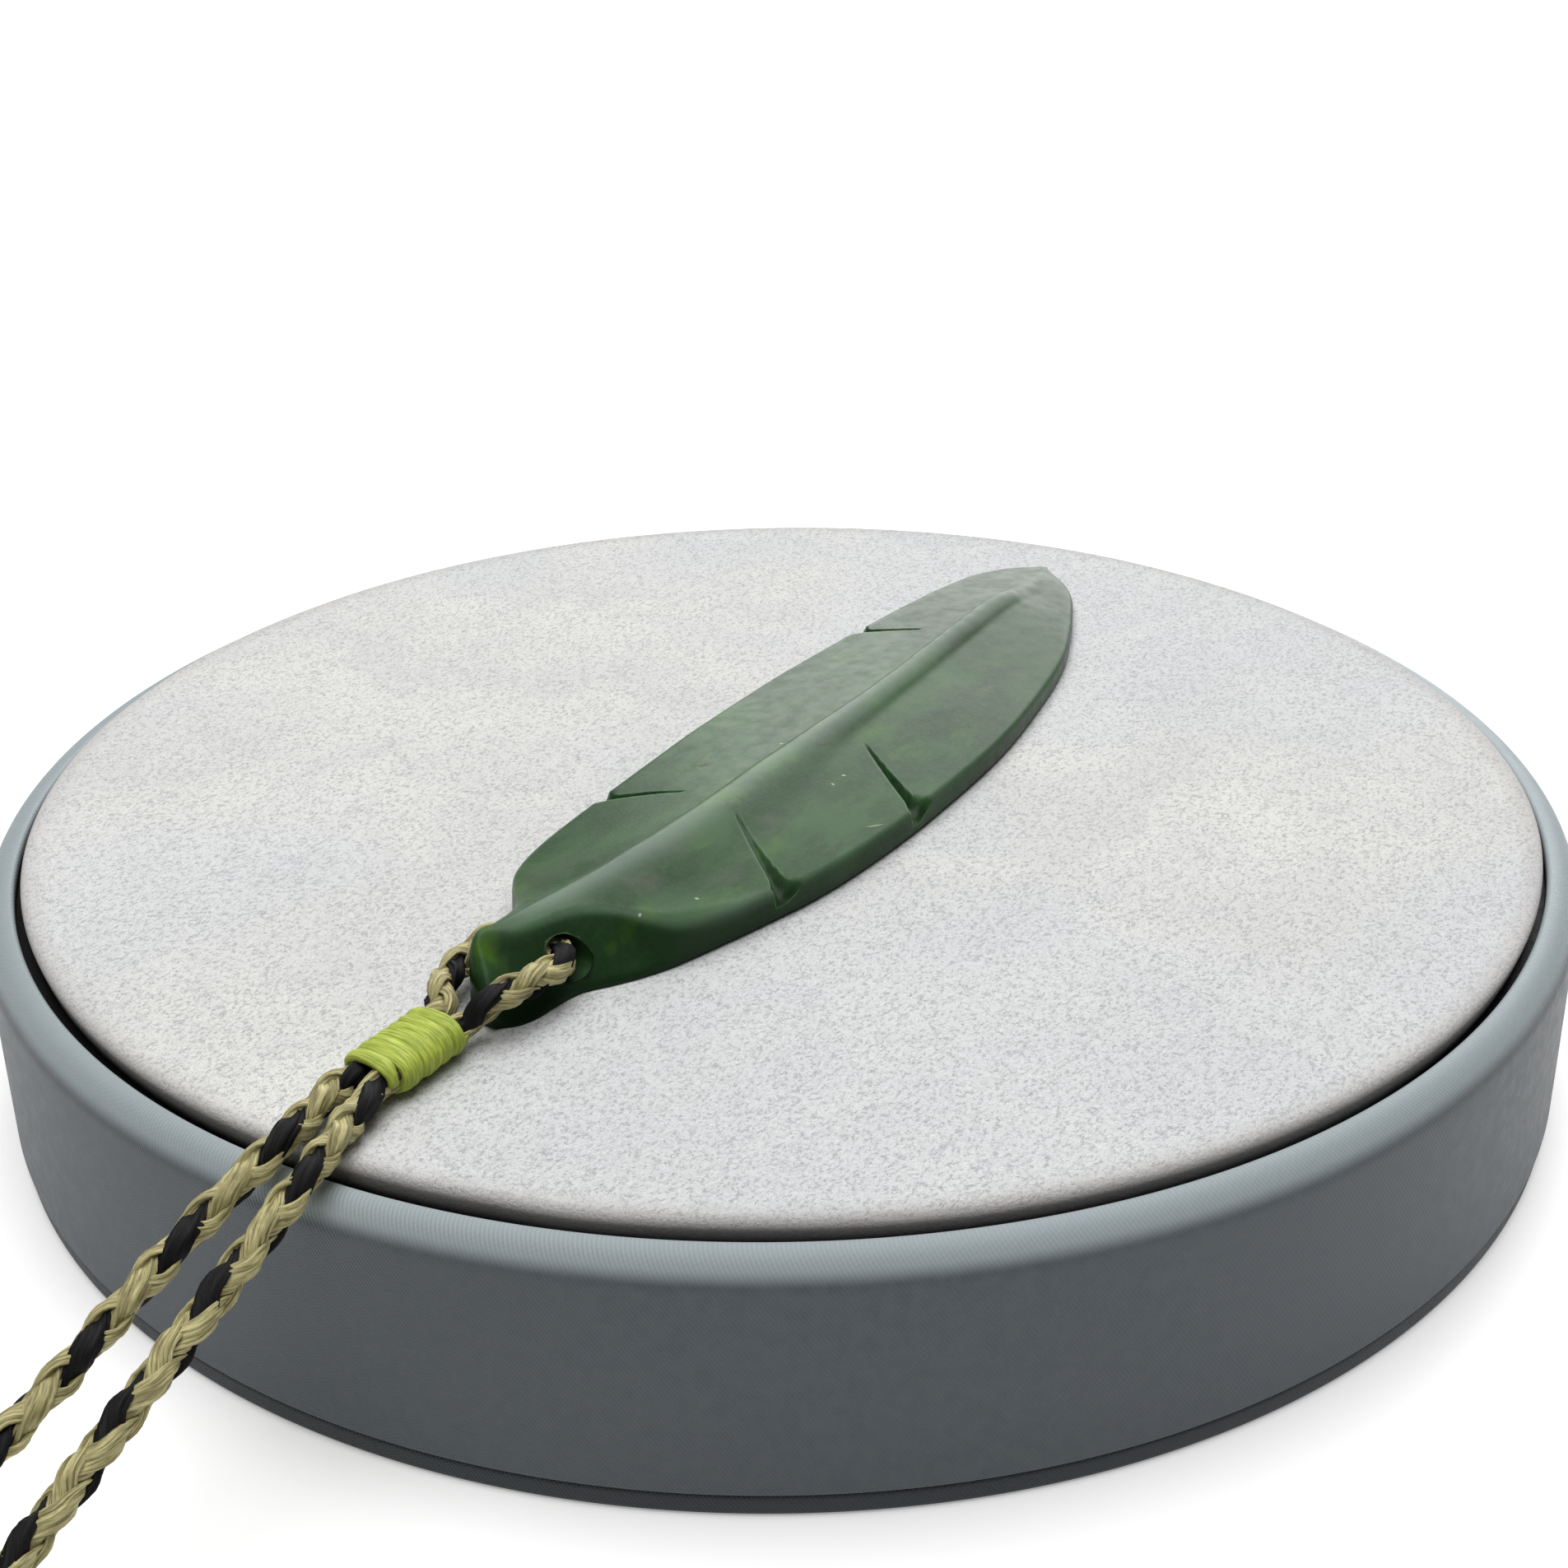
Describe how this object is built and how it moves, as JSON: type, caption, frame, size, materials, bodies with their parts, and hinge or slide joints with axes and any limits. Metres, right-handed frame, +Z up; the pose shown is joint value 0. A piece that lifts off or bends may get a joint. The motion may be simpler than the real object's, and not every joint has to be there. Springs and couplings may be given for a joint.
{
  "type": "jade feather pendant on a plaited neck cord with a round display stand",
  "caption": "Carved jade feather pendant hung on a plaited two-colour neck cord loop, lying on a round suede-topped display stand.",
  "frame": {"origin": "middle of the stand's underside, on the table", "axes": "+Z up, +Y from the feather's stem to its tip, the cord loop lies towards -Y"},
  "size_m": [0.1353, 0.4006, 0.0248],
  "materials": {
    "jade": "polished translucent green stone",
    "khaki_cord": "waxed plait, khaki with one black strand",
    "green_thread": "waxed thread",
    "grey_leatherette": "fine embossed weave, satin",
    "grey_suede": "short nap"
  },
  "bodies": {
    "root": {"feather": "jade", "braided_cord": "khaki_cord", "front_binding": "green_thread", "rear_binding": "green_thread", "stand_base": "grey_leatherette", "bottom_plate": "grey_leatherette", "suede_pad": "grey_suede"}
  },
  "joints": []
}
